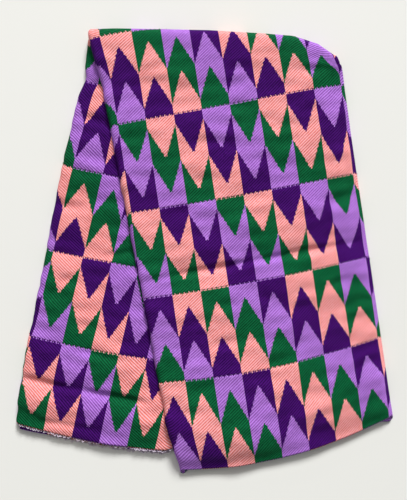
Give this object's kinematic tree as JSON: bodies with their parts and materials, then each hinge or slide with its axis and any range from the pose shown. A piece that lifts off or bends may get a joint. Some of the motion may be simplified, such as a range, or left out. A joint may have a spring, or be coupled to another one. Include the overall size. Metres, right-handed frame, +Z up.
{
  "type": "folded kente cloth",
  "caption": "Hand-woven kente cloth of narrow strips sewn side by side, folded lengthwise into layers and then folded over once, lying flat.",
  "frame": {"origin": "centre of the pictured view, on the surface the cloth lies on", "axes": "+X to the right of the picture, +Y towards the fold at the top of the picture, +Z up"},
  "size_m": [0.4261, 0.5061, 0.0194],
  "materials": {
    "woven_yarn": "matt woven yarn in purple, lavender, green and salmon"
  },
  "bodies": {
    "root": {"strip_01": "woven_yarn", "strip_02": "woven_yarn", "strip_03": "woven_yarn", "strip_04": "woven_yarn", "strip_05": "woven_yarn", "strip_06": "woven_yarn", "strip_07": "woven_yarn", "strip_08": "woven_yarn", "strip_09": "woven_yarn", "strip_10": "woven_yarn"}
  },
  "joints": []
}
